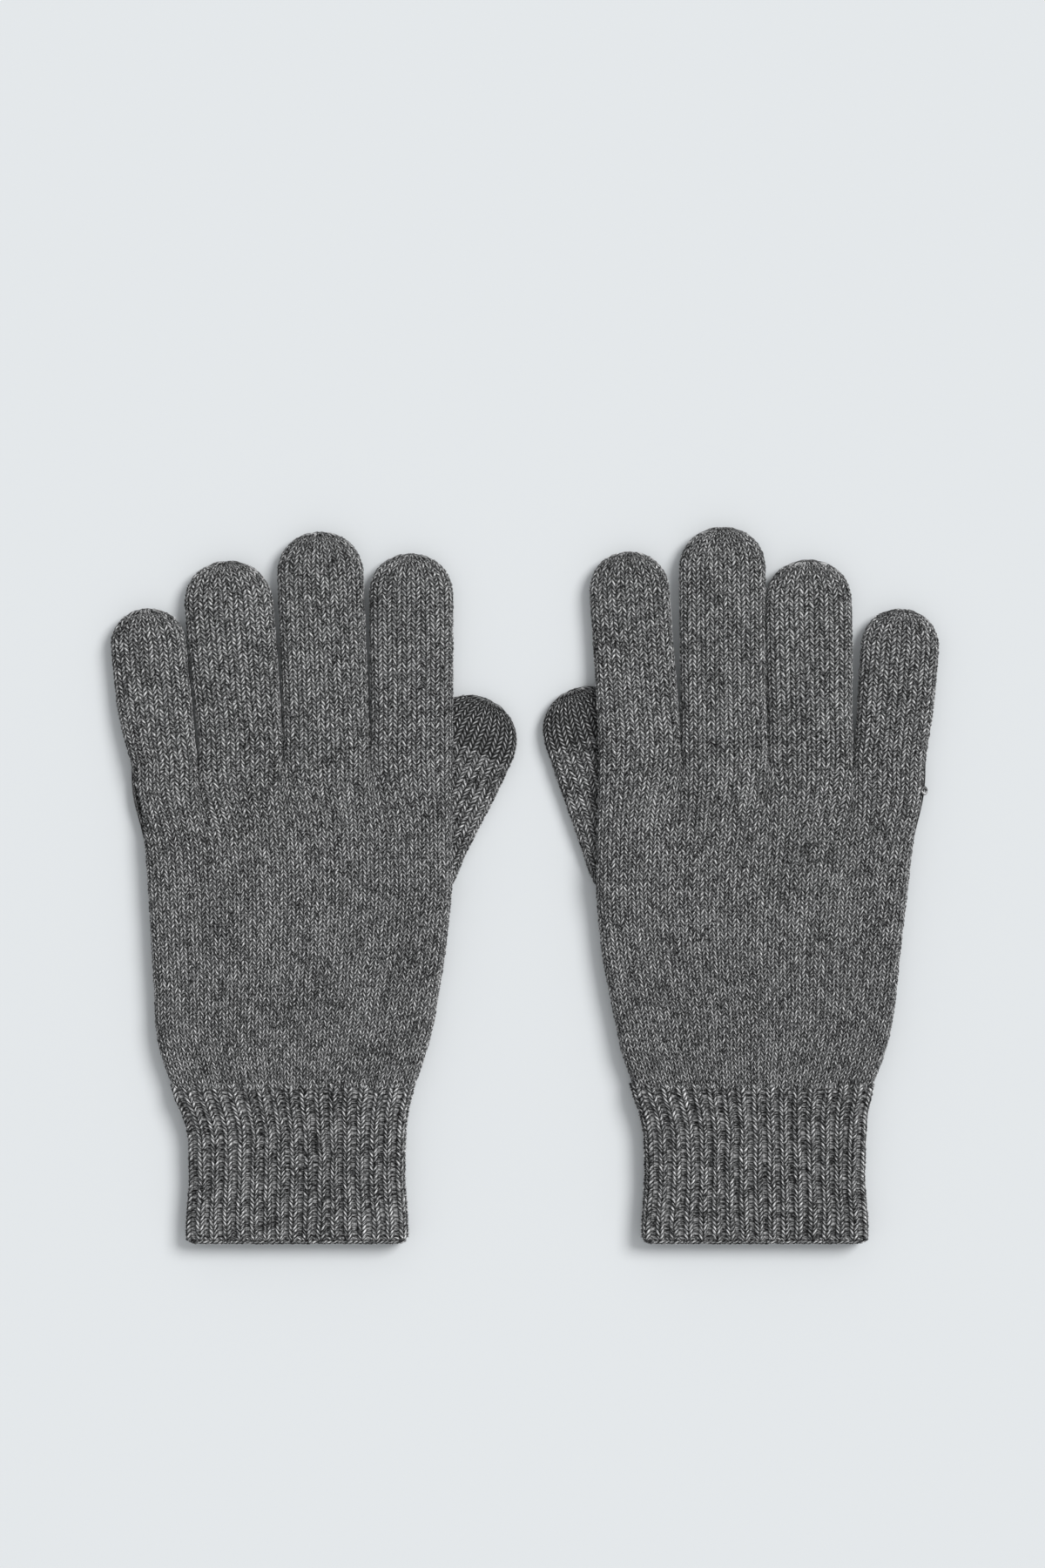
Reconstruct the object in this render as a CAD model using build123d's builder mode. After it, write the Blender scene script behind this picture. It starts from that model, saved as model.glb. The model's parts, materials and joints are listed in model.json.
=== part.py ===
"""A pair of seamless knitted touchscreen gloves, side by side, back of the hand up.

Each glove is a set of knitted tubes: a ribbed cuff, a hand in three sections, four
fingers, and a thumb that is tucked under the palm. The fingers and the thumb bend at a
short band of courses at their roots, and the tips of the index finger and the thumb are
knitted with conductive yarn.

Millimetres and degrees. +Y runs from the cuffs to the fingertips, and +Z up from the
surface that the gloves lie on. The origin is on that surface, under the middle of the
pair. In a glove's own terms, x runs from its middle line towards its thumb, and y from
the edge of its cuff.
"""

import os
from math import cos, radians, sin

from build123d import *

# Fabric
wall = 1.4  # thickness of the knitted wall
press = 0.2  # how far the underside is pressed flat
slip = 0.3  # gap between pieces that move past each other
round_off = 0.05  # what a full-round edge leaves of the flat side

# Cuff
cuff_length = 52.5
cuff_depth = 8.2  # thickness of the flattened cuff
mouth_width = 76.5
waist_width = 73.6  # the rib draws in most between the mouth and the wrist
waist_height = 28.0
wrist_width = 82.0
edge_length = 2.2  # the bound-off edge
edge_swell = 0.4  # how far it stands out from the rib
elastic_rings = 6
elastic_width = 0.8
elastic_depth = 0.5

# Hand
wrist_depth = 8.6
heel_width = 92.0
heel_depth = 9.6
heel_rise = 13.5  # from the wrist to the heel of the hand
palm_width = 104.5
palm_depth = 10.4
palm_rise = 65.0  # from the wrist to the widest part of the palm
knuckle_depth = 8.0
top_depth = 7.6  # of the short section over three fingers
little_drop = 7.5  # how far the little finger starts below the others

# Fingers, from the thumb side
finger_width = {"index": 27.3, "middle": 28.6, "ring": 28.0, "little": 25.0}
finger_reach = {"index": 65.5, "middle": 73.5, "ring": 62.5, "little": 54.5}
finger_depth = 7.2
finger_gap = 0.6  # between two fingers at their roots
band_length = 12.0  # the courses that bend
touch_length = 18.0  # the conductive zone of a tip

# Thumb
thumb_width = 29.0
thumb_reach = 62.0  # from the middle of its root to its tip
thumb_depth = 4.6
thumb_inset = 41.0  # from the hand's middle line to the root
thumb_drop = 38.0  # from the roots of the fingers down to its own
thumb_hole = 8.0  # radius of the way from the palm into the thumb
section_drop = 15.0  # from the thumb's root down to where the lower section ends

# Small trim
stitch_width = 0.35
stitch_length = 3.0
knot_radius = 1.5
knot_drop = 7.0  # from the root line of the fingers

# How the two gloves lie. side is +1 where the thumb points to +X.
between_gloves = 154.5  # from one middle line to the other
gloves = {
    "left": {
        "side": 1,
        "palm_length": 113.5,
        "knuckle_shift": 1.7,  # towards the little finger
        "lean": {"index": 0.8, "middle": -1.6, "ring": -3.5, "little": -5.4},
        "thumb_lean": 23.5,
    },
    "right": {
        "side": -1,
        "palm_length": 115.5,
        "knuckle_shift": 4.0,
        "lean": {"index": 3.4, "middle": 2.1, "ring": 1.2, "little": -4.6},
        "thumb_lean": 19.5,
    },
}

three_fingers = ("index", "middle", "ring")
three_width = sum(finger_width[name] for name in three_fingers) + 2 * finger_gap
knuckle_width = three_width + finger_gap + finger_width["little"]


def world_x(glove, x):
    """The frame's x of a place that a glove measures from its middle line."""
    return -glove["side"] * between_gloves / 2 + glove["side"] * x


def root_line(glove):
    """Height of the finger roots above the cuff's edge."""
    return cuff_length + glove["palm_length"]


def little_line(glove):
    """Height of the little finger's root."""
    return root_line(glove) - little_drop


def finger_x(glove, name):
    """Where a finger's middle line meets its root line."""
    x = knuckle_width / 2 - glove["knuckle_shift"]
    for other in ("index", "middle", "ring", "little"):
        if other == name:
            return x - finger_width[name] / 2
        x -= finger_width[other] + finger_gap


def finger_plane(glove, name):
    """The plane that a finger lies on: origin at its root, Y along the finger."""
    height = little_line(glove) if name == "little" else root_line(glove)
    return leaning(glove, finger_x(glove, name), height, glove["lean"][name])


def thumb_plane(glove):
    """The plane that the thumb lies on: origin at the middle of its root."""
    height = root_line(glove) - thumb_drop
    return leaning(glove, thumb_inset, height, glove["thumb_lean"])


def leaning(glove, x, y, lean):
    """A level plane at a place of the glove, turned by lean degrees to the thumb."""
    turn = radians(-glove["side"] * lean)
    return Plane(origin=(world_x(glove, x), y, 0), x_dir=(cos(turn), sin(turn), 0))


def across(y):
    """The upright plane at height y that faces the fingertips."""
    return Plane(origin=(0, y, 0), x_dir=(1, 0, 0), z_dir=(0, 1, 0))


def square_to(plane, length):
    """The upright plane across a finger, at a length along it."""
    return Plane(origin=plane.from_local_coords((0, length, 0)), z_dir=plane.y_dir)


def tube(stations, inset=0.0):
    """A flattened tube through stations of (height, x, width, depth), brought in."""
    with BuildPart() as body:
        for y, x, width, depth in stations:
            with BuildSketch(Plane(origin=(x, y, depth / 2), x_dir=(1, 0, 0), z_dir=(0, 1, 0))):
                SlotOverall(width - 2 * inset, depth - 2 * inset)
        loft(ruled=True)
    return body.part


def pod(plane, width, reach, depth, inset=0.0):
    """A flat finger with full-round edges and a round tip, brought in all round."""
    flat_width = width - 2 * inset
    length = reach + width - inset
    with BuildPart() as body:
        with BuildSketch(plane.offset(inset)):
            with Locations((0, reach - inset - length / 2)):
                SlotOverall(length, flat_width, rotation=90)
        extrude(amount=depth - 2 * inset)
        rims = body.edges().group_by(Axis.Z)
        fillet(rims[0] + rims[-1], radius=depth / 2 - inset - round_off)
    return body.part


def stretch(piece, start=None, end=None):
    """The stretch of a piece between two planes that face its far end."""
    with BuildPart() as kept:
        add(piece)
        if start is not None:
            split(bisect_by=start, keep=Keep.TOP)
        if end is not None:
            split(bisect_by=end, keep=Keep.BOTTOM)
    return kept.part


def hollowed(solid, cavity, room=None, lined_room=None):
    """A shell: a solid without its cavity, which leaves a lining round the room."""
    with BuildPart() as inside:
        add(cavity)
        if lined_room is not None:
            add(lined_room, mode=Mode.SUBTRACT)
    with BuildPart() as shell:
        add(solid)
        add(inside.part, mode=Mode.SUBTRACT)
        if room is not None:
            add(room, mode=Mode.SUBTRACT)
    return shell.part


def thumb_room(glove, lining=0.0):
    """The hollow in the palm that the tucked thumb lies in."""
    around = slip + lining
    width = thumb_width + 2 * around
    with BuildPart() as room:
        with BuildSketch(thumb_plane(glove).offset(-wall)):
            with Locations((0, (thumb_reach - thumb_width / 2) / 2)):
                SlotOverall(thumb_reach + thumb_width / 2 + 2 * around, width, rotation=90)
        extrude(amount=wall + thumb_depth + around)
    return room.part


# The cuff


def cuff_stations(glove):
    x = world_x(glove, 0)
    return [
        (0, x, mouth_width, cuff_depth),
        (waist_height, x, waist_width, cuff_depth),
        (cuff_length, x, wrist_width, wrist_depth),
    ]


def cuff_at(glove, y):
    """The cuff's own station at a height between its stations."""
    stations = cuff_stations(glove)
    below = max(s for s in stations[:-1] if s[0] <= y)
    above = min(s for s in stations if s[0] > y)
    share = (y - below[0]) / (above[0] - below[0])
    return tuple(low + share * (high - low) for low, high in zip(below, above))


def cuff_edge(glove):
    """The bound-off edge, a little fuller than the rib."""
    y, x, width, depth = cuff_at(glove, edge_length)
    full = (x, width + 2 * edge_swell, depth + edge_swell)
    with BuildPart() as edge:
        add(tube([(0, *full), (edge_length, *full)]))
        rims = edge.edges().group_by(Axis.Y)
        fillet(rims[0], radius=edge_length / 2 - round_off)
        add(tube([(0, *full), (edge_length, *full)], wall + edge_swell / 2), mode=Mode.SUBTRACT)
    return edge.part


def elastic_ends(glove):
    """The two ends of each ring of elastic yarn, as stations of the cuff."""
    pitch = (cuff_length - edge_length) / (elastic_rings + 1)
    for ring in range(elastic_rings):
        y = edge_length + (ring + 1) * pitch
        section = cuff_at(glove, y)[1:]
        yield [(y, *section), (y + elastic_width, *section)]


def cuff_rib(glove):
    """The ribbed tube from the bound-off edge to the wrist, grooved for the elastic."""
    stations = [cuff_at(glove, edge_length)] + cuff_stations(glove)[1:]
    with BuildPart() as rib:
        add(tube(stations))
        add(tube(stations, wall), mode=Mode.SUBTRACT)
        for ends in elastic_ends(glove):
            add(tube(ends, wall - elastic_depth), mode=Mode.SUBTRACT)
    return rib.part


def cuff_elastic(glove):
    """Rings of elastic yarn, laid into the inside of the rib."""
    with BuildPart() as elastic:
        for ends in elastic_ends(glove):
            add(tube(ends, wall - elastic_depth))
            add(tube(ends, wall), mode=Mode.SUBTRACT)
    return elastic.part


# The hand


def hand_stations(glove):
    def station(rise, width, depth):
        span = little_line(glove) - cuff_length
        x = world_x(glove, -glove["knuckle_shift"] * rise / span)
        return (cuff_length + rise, x, width, depth)

    return [
        station(0, wrist_width, wrist_depth),
        station(heel_rise, heel_width, heel_depth),
        station(palm_rise, palm_width, palm_depth),
        station(little_line(glove) - cuff_length, knuckle_width, knuckle_depth),
    ]


def thumb_way(glove):
    """The round way from the palm down into the thumb."""
    with BuildPart() as way:
        with BuildSketch(thumb_plane(glove).offset(thumb_depth - wall)):
            Circle(thumb_hole)
        extrude(amount=slip + 2 * wall)
    return way.part


def hand_shell(glove):
    """The hand from the wrist to the little finger's root, pressed flat below."""
    stations = hand_stations(glove)
    with BuildPart() as hand:
        add(tube([(y, x, width, depth + press) for y, x, width, depth in stations]).moved(
            Location((0, 0, -press))
        ))
        split(bisect_by=Plane.XY, keep=Keep.TOP)
    shell = hollowed(
        hand.part, tube(stations, wall), thumb_room(glove), thumb_room(glove, wall)
    )
    with BuildPart() as pierced:
        add(shell)
        add(thumb_way(glove), mode=Mode.SUBTRACT)
    return pierced.part


def hand_top(glove):
    """The short section over the index, middle and ring fingers."""
    x = world_x(glove, knuckle_width / 2 - glove["knuckle_shift"] - three_width / 2)
    stations = [
        (little_line(glove), x, three_width, top_depth),
        (root_line(glove), x, three_width, finger_depth),
    ]
    return hollowed(
        tube(stations), tube(stations, wall), thumb_room(glove), thumb_room(glove, wall)
    )


# The fingers


def finger_shell(glove, name):
    plane = finger_plane(glove, name)
    size = (finger_width[name], finger_reach[name], finger_depth)
    solid = pod(plane, *size)
    cavity = pod(plane, *size, wall)
    if name != "index":
        return hollowed(solid, cavity)
    return hollowed(solid, cavity, thumb_room(glove), thumb_room(glove, wall))


def finger_pieces(glove, name):
    """The bending band of a finger, and the finger beyond it."""
    plane = finger_plane(glove, name)
    shell = finger_shell(glove, name)
    root = across(plane.origin.Y)
    band = stretch(shell, root, square_to(plane, band_length - slip))
    finger = stretch(shell, square_to(plane, band_length))
    pieces = {f"{name}_base": band}
    if name == "index":
        touch = square_to(plane, finger_reach[name] - touch_length)
        pieces["index_finger"] = stretch(finger, end=touch)
        pieces["index_touch_tip"] = stretch(finger, touch)
    else:
        pieces[f"{name}_finger"] = finger
    return pieces


def thumb_pieces(glove):
    """The thumb's base, its tube and its conductive tip."""
    plane = thumb_plane(glove)
    size = (thumb_width, thumb_reach, thumb_depth)
    half = thumb_width / 2
    with BuildPart() as solid:
        with BuildSketch(plane):
            with Locations((0, (thumb_reach - half) / 2)):
                SlotOverall(thumb_reach + half, thumb_width, rotation=90)
        extrude(amount=thumb_depth)
        rims = solid.edges().group_by(Axis.Z)
        fillet(rims[0] + rims[-1], radius=thumb_depth / 2 - round_off)
    with BuildPart() as cavity:
        with BuildSketch(plane.offset(wall)):
            with Locations((0, (thumb_reach - half) / 2)):
                SlotOverall(thumb_reach + half - 2 * wall, thumb_width - 2 * wall, rotation=90)
        extrude(amount=thumb_depth - 2 * wall)
    shell = hollowed(solid.part, cavity.part)
    with BuildPart() as base:
        add(stretch(shell, end=square_to(plane, band_length - slip)))
        with BuildSketch(plane.offset(thumb_depth)):
            Circle(thumb_hole + wall)
        extrude(amount=slip)
        add(thumb_way(glove), mode=Mode.SUBTRACT)
    tube_part = stretch(shell, square_to(plane, band_length))
    touch = square_to(plane, size[1] - touch_length)
    return {
        "thumb_base": base.part,
        "thumb": stretch(tube_part, end=touch),
        "thumb_touch_tip": stretch(tube_part, touch),
    }


# Trim


def crotch_stitches(glove):
    """The closing stitches between two finger roots, one upright loop in each gap."""
    with BuildPart() as stitches:
        for name, height in (
            ("middle", root_line(glove)),
            ("ring", root_line(glove)),
            ("little", little_line(glove)),
        ):
            x = finger_x(glove, name) + (finger_width[name] + finger_gap) / 2
            spot = (world_x(glove, x), height + stitch_length / 2, finger_depth / 2)
            with Locations(spot):
                Box(stitch_width, stitch_length, finger_depth - wall)
    return stitches.part


def yarn_knot(glove, hand):
    """The darned yarn end on the little finger's side of the hand."""
    y = root_line(glove) - knot_drop - knot_radius - little_drop
    x = world_x(glove, -knuckle_width / 2 - glove["knuckle_shift"])
    with BuildPart() as knot:
        with Locations((x, y, knuckle_depth / 2)):
            Sphere(knot_radius)
        add(hand, mode=Mode.SUBTRACT)
    return knot.part


def glove_pieces(glove):
    """Every piece of one glove, by name."""
    shell = hand_shell(glove)
    section = across(root_line(glove) - thumb_drop - section_drop)
    pieces = {
        "cuff_edge": cuff_edge(glove),
        "cuff_rib": cuff_rib(glove),
        "cuff_elastic": cuff_elastic(glove),
        "hand_lower": stretch(shell, end=section),
        "hand_upper": stretch(shell, section),
        "hand_top": hand_top(glove),
        "crotch_stitches": crotch_stitches(glove),
    }
    for name in finger_width:
        pieces.update(finger_pieces(glove, name))
    pieces.update(thumb_pieces(glove))
    return pieces


def pair_pieces():
    """Every piece of the pair, centred on the origin."""
    pieces = {}
    for hand, glove in gloves.items():
        for name, piece in glove_pieces(glove).items():
            pieces[f"{hand}_{name}"] = piece
    pieces["right_yarn_knot"] = yarn_knot(gloves["right"], pieces["right_hand_upper"])
    box = Compound(list(pieces.values())).bounding_box()
    middle = Location((-box.center().X, -box.center().Y, -box.min.Z))
    return {name: piece.moved(middle) for name, piece in pieces.items()}


if __name__ == "__main__":
    os.makedirs("parts", exist_ok=True)
    for name, piece in pair_pieces().items():
        piece.label = name
        export_step(piece, f"parts/{name}.step")
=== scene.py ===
"""Knits a pair of grey heather touchscreen gloves around their frame.

Every section of a glove is a flattened tube. Its form is a grid of wales, which run
along the hand, and courses, which run round it. A Geometry Nodes tree raises the two
legs of each stitch on that grid, and the yarn's material finds the same stitches in the
UV map "knit", whose axes count wales and courses.
"""

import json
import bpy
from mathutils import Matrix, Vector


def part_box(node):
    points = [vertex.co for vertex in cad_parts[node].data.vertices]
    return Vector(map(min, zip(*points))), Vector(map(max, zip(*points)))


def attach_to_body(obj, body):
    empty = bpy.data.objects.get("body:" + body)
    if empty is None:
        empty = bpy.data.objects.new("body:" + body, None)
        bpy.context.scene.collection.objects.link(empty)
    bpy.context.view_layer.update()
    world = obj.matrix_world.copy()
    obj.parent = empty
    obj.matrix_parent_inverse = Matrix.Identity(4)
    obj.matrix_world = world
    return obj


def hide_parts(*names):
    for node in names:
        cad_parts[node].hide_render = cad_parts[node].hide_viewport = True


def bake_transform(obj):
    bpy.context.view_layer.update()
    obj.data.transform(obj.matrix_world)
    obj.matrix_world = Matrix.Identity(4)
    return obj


bl_info = {
    "name": "Knitted Gloves",
    "version": (1, 0, 0),
    "blender": (4, 5, 0),
    "location": "View3D > Sidebar > Gloves",
    "description": "Knits a pair of touchscreen gloves around their frame",
    "category": "Add Mesh",
}

from math import pi, radians

import bpy
import numpy as np
from bpy.props import FloatProperty, FloatVectorProperty, IntProperty, PointerProperty
from mathutils import Vector

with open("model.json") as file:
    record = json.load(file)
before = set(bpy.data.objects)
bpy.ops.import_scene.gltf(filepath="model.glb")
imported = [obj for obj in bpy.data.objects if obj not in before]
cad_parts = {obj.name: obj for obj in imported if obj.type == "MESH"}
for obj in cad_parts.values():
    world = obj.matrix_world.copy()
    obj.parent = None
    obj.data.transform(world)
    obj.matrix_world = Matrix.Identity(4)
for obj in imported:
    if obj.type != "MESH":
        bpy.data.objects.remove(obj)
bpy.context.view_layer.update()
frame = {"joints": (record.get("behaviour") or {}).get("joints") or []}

MM = 0.001
SIDES = {"left": 1, "right": -1}  # the sign of the way from a glove's middle to its thumb
FINGERS = ("little", "ring", "middle", "index")  # across the hand, towards the thumb
FINGER_WALES = {"little": 9, "ring": 10, "middle": 11, "index": 10}  # on one side
FINGER_WIDTH = {"little": 25.0 * MM, "ring": 28.0 * MM, "middle": 28.6 * MM, "index": 27.3 * MM}
FINGER_GAP = 0.6 * MM
HAND_WALES = sum(FINGER_WALES.values())
THUMB_WALES = 10
THUMB_WIDTH = 29.0 * MM
CUFF_RIBS = 17  # on one side
BAND = 12.0 * MM  # the bending courses at the root of a finger
TOUCH_LENGTH = 18.0 * MM  # the conductive zone of a thumb
HAND_WIDTH = 104.0 * MM
CUFF_WIDTH = 76.0 * MM
TOP_LEVELS = (7.8 * MM, 8.0 * MM, 7.9 * MM, 7.5 * MM, 7.0 * MM)  # from the cuff's mouth to the fingers
DOME_SPREAD = 17.0 * MM
THUMB_FALL = 6.0 * MM  # over this distance the palm falls from the thumb to the surface
GATHER = 28.0 * MM  # the stitches gather towards the fingers over this distance
FOLD = 15.0 * MM  # length of the folds below the gaps between fingers
RIB_FADE = 15.0 * MM  # the ribs run on into the hand over this distance
OVERLAP = 0.35 * MM  # how far the hand lies over the cuff, above the wrist
TIP_ROWS = (0.8 * MM, 0.4 * MM, 0.14 * MM, 0.02 * MM)  # the last rows, from the very tip
TIP_START = 1.2 * MM
TIP_EASE = 2.5 * MM
TIP_SQUARE = 2.12  # a little squarer than a round tip
BACK_FULLNESS = 0.8  # the underside is a little fuller at its edges
OTHER_GLOVE = 300.0  # counted on, so that no leg has the tone of its fellow on the other glove
THUMB_COUNTS = (250.0, 50.0)  # where the thumb's counts of wales and courses start
LEG_COLUMNS = 4  # columns of faces on one leg of a stitch
COURSE_ROWS = 3  # rows of faces on one course
WALE_COLUMNS = 2 * LEG_COLUMNS
PURL_COLUMNS = 4  # the sunk part of a rib
RIB_COLUMNS = WALE_COLUMNS + PURL_COLUMNS
FLOOR_GAP = 0.35 * MM  # the lowest stitches stay this far above the surface
OWN_TONE, FIBRES, FLECKS, PATCHES = 0.45, 2.4, 2.2, 0.3  # how much each adds to the yarn's tone
LIGHT_WAY = Vector((-0.62, -0.42, -0.75))
VIEW_HEIGHT = 0.529  # what the frame's long side takes in
VIEW_CENTRE = (-0.0008, 0.0335)


class KnitSizes(bpy.types.PropertyGroup):
    """Sizes of the knitted fabric."""

    course: FloatProperty(name="Course", description="Height of one course", default=1.53 * MM, unit="LENGTH")
    slant: FloatProperty(name="Slant", description="Courses that a leg climbs", default=0.65)
    depth: FloatProperty(name="Depth", description="Relief of the legs", default=0.6 * MM, unit="LENGTH")
    unevenness: FloatProperty(
        name="Unevenness", description="Height difference between legs", default=0.14 * MM, unit="LENGTH"
    )
    rib_height: FloatProperty(
        name="Rib height", description="Height of a rib over its valley", default=0.9 * MM, unit="LENGTH"
    )
    fabric: FloatProperty(
        name="Fabric", description="Thickness of the fabric", default=1.2 * MM, unit="LENGTH"
    )
    roll: FloatProperty(
        name="Roll", description="Radius of a flattened tube's edges", default=3.6 * MM, unit="LENGTH"
    )
    crown: FloatProperty(name="Crown", description="How much a finger swells in its middle", default=0.12)
    dome: FloatProperty(
        name="Dome", description="How far the hand rises over the thumb", default=2.2 * MM, unit="LENGTH"
    )
    disorder: FloatProperty(
        name="Disorder", description="How far stitches stray", default=0.13 * MM, unit="LENGTH"
    )
    seed: IntProperty(name="Seed", description="Seed of the uneven stitches", default=7)


class YarnColours(bpy.types.PropertyGroup):
    """Colours of the heather yarn's fibres."""

    dark: FloatVectorProperty(
        name="Dark fibres", description="The darkest fibres", subtype="COLOR", default=(0.01, 0.0103, 0.0106)
    )
    middle: FloatVectorProperty(
        name="Middle fibres", description="Most of the fibres", subtype="COLOR", default=(0.31, 0.315, 0.318)
    )
    light: FloatVectorProperty(
        name="Light fibres", description="The lightest fibres", subtype="COLOR", default=(1.0, 1.0, 1.0)
    )


class StageLook(bpy.types.PropertyGroup):
    """The floor and the light."""

    floor: FloatVectorProperty(
        name="Floor", description="Colour of the floor", subtype="COLOR", default=(0.81, 0.835, 0.85)
    )
    key: FloatProperty(name="Key light", description="Strength of the key light", default=2.1)
    sky: FloatProperty(name="Sky", description="Strength of the light from all round", default=0.50)


# Node trees, written as expressions


class Number:
    """A number in a node tree. Arithmetic on it adds Math nodes."""

    def __init__(self, maker, socket):
        self.maker = maker
        self.socket = socket

    def __add__(self, other):
        return self.maker.math("ADD", self, other)

    def __sub__(self, other):
        return self.maker.math("SUBTRACT", self, other)

    def __mul__(self, other):
        return self.maker.math("MULTIPLY", self, other)

    def __truediv__(self, other):
        return self.maker.math("DIVIDE", self, other)

    def __pow__(self, other):
        return self.maker.math("POWER", self, other)

    def __lt__(self, other):
        return self.maker.math("LESS_THAN", self, other)

    def __gt__(self, other):
        return self.maker.math("GREATER_THAN", self, other)

    def __rsub__(self, other):
        return self.maker.math("SUBTRACT", other, self)

    __radd__ = __add__
    __rmul__ = __mul__


class Maker:
    """Adds nodes to one tree."""

    def __init__(self, tree):
        self.tree = tree

    def node(self, kind, settings=None, inputs=None):
        """One node with its settings, and values or links for its sockets."""
        made = self.tree.nodes.new(kind)
        for key, value in (settings or {}).items():
            setattr(made, key, value)
        for key, value in (inputs or {}).items():
            source = value.socket if isinstance(value, Number) else value
            if isinstance(source, bpy.types.NodeSocket):
                self.tree.links.new(source, made.inputs[key])
            else:
                made.inputs[key].default_value = source
        return made

    def number(self, socket):
        return Number(self, socket)

    def math(self, operation, *values):
        made = self.node("ShaderNodeMath", {"operation": operation}, dict(enumerate(values)))
        return Number(self, made.outputs[0])

    def floor(self, value):
        return self.math("FLOOR", value)

    def fraction(self, value):
        return self.math("FRACT", value)

    def sine(self, value):
        return self.math("SINE", value)

    def absolute(self, value):
        return self.math("ABSOLUTE", value)

    def least(self, first, second):
        return self.math("MINIMUM", first, second)

    def most(self, first, second):
        return self.math("MAXIMUM", first, second)

    def vector(self, x, y, z):
        made = self.node("ShaderNodeCombineXYZ", None, {0: x, 1: y, 2: z})
        return made.outputs[0]


class Stitch:
    """Where a place on the fabric lies in its stitch, from its counts of wales and courses.

    side runs from 0 in the middle of the wale to 1 at its edge, across runs from 0 to 1
    over the thickness of the leg, and leg and row are whole numbers.
    """

    def __init__(self, maker, wale, course, slant, purl):
        place = maker.fraction(wale)
        half = maker.least(place / (1.0 - purl), 1.0)
        self.knit = place < 1.0 - purl + 0.001
        self.half = half
        self.side = maker.absolute(half - 0.5) * 2.0
        climb = course - self.side * slant
        self.climb = climb
        self.across = maker.fraction(climb)
        self.row = maker.floor(climb)
        self.leg = maker.floor(wale) * 2.0 + (half > 0.5)
        self.round = maker.sine(maker.most(maker.least(self.across, 1.0), 0.0) * pi)
        self.reach = maker.sine(self.side * pi)


def knit_tree():
    """Raises the legs of the stitches on a grid that counts its wales and courses."""
    tree = bpy.data.node_groups.new("knit", "GeometryNodeTree")
    maker = Maker(tree)
    face = tree.interface
    face.new_socket("Fabric", in_out="INPUT", socket_type="NodeSocketGeometry")
    for name in ("Depth", "Slant", "Unevenness", "Purl share", "Rib height"):
        face.new_socket(name, in_out="INPUT", socket_type="NodeSocketFloat")
    face.new_socket("Seed", in_out="INPUT", socket_type="NodeSocketInt")
    face.new_socket("Yarn", in_out="INPUT", socket_type="NodeSocketMaterial")
    face.new_socket("Knitted", in_out="OUTPUT", socket_type="NodeSocketGeometry")
    given = maker.node("NodeGroupInput").outputs

    def count(name):
        read = maker.node("GeometryNodeInputNamedAttribute", {"data_type": "FLOAT"}, {"Name": name})
        return maker.number(read.outputs["Attribute"])

    depth, slant = maker.number(given["Depth"]), maker.number(given["Slant"])
    stitch = Stitch(maker, count("wale"), count("course") + 0.0001, slant, maker.number(given["Purl share"]))
    legs = stitch.round ** 0.6 * (stitch.reach * 0.75 + 0.25) * stitch.knit
    chance = maker.node(
        "FunctionNodeRandomValue",
        {"data_type": "FLOAT"},
        {"Min": -1.0, "Max": 1.0, "ID": (stitch.leg * 613.0 + stitch.row * 7.0), "Seed": given["Seed"]},
    )
    uneven = maker.number(chance.outputs["Value"]) * maker.number(given["Unevenness"]) * stitch.round
    arch = maker.most(1.0 - stitch.side * stitch.side * 0.9, 0.0) ** 0.5 * stitch.knit
    height = (legs - 0.5) * depth + uneven + arch * maker.number(given["Rib height"])
    height = height * count("relief")
    vector = {"data_type": "FLOAT_VECTOR"}
    outward = maker.node("GeometryNodeInputNamedAttribute", vector, {"Name": "outward"}).outputs["Attribute"]
    lift = maker.node("ShaderNodeVectorMath", {"operation": "SCALE"}, {0: outward, "Scale": height})
    raised = {"Geometry": given["Fabric"], "Offset": lift.outputs[0]}
    moved = maker.node("GeometryNodeSetPosition", None, raised)
    real = maker.node("GeometryNodeRealizeInstances", None, {"Geometry": moved.outputs[0]}).outputs[0]
    dyed = maker.node("GeometryNodeSetMaterial", None, {"Geometry": real, "Material": given["Yarn"]})
    maker.node("NodeGroupOutput", None, {0: dyed.outputs[0]})
    return tree


def knitted(name, mesh, material, purl=0.0, rib_height=0.0):
    """The finished object of a form: its stitches raised, and nothing live left on it."""
    sizes = bpy.context.scene.glove_knit
    tree = bpy.data.node_groups.get("knit") or knit_tree()
    form = bpy.data.objects.new(name, mesh)
    bpy.context.scene.collection.objects.link(form)
    modifier = form.modifiers.new("knit", "NODES")
    modifier.node_group = tree
    values = {
        "Depth": sizes.depth,
        "Slant": sizes.slant,
        "Unevenness": sizes.unevenness,
        "Purl share": purl,
        "Rib height": rib_height,
        "Seed": sizes.seed,
        "Yarn": material,
    }
    for item in tree.interface.items_tree:
        if item.name in values:
            modifier[item.identifier] = values[item.name]
    seen = form.evaluated_get(bpy.context.evaluated_depsgraph_get())
    plain = bpy.data.meshes.new_from_object(seen)
    form.modifiers.remove(modifier)
    form.data = plain
    bpy.data.meshes.remove(mesh)
    plain.name = name
    corners = np.empty(len(plain.polygons), dtype=np.int32)
    plain.polygons.foreach_get("loop_total", corners)
    plain.polygons.foreach_set("use_smooth", corners <= 4)  # the rims of open ends stay flat
    return form


# The yarn


def empty_material(name):
    """A material without nodes, and what adds them."""
    material = bpy.data.materials.new(name)
    material.use_nodes = True
    material.node_tree.nodes.clear()
    return material, Maker(material.node_tree)


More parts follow.
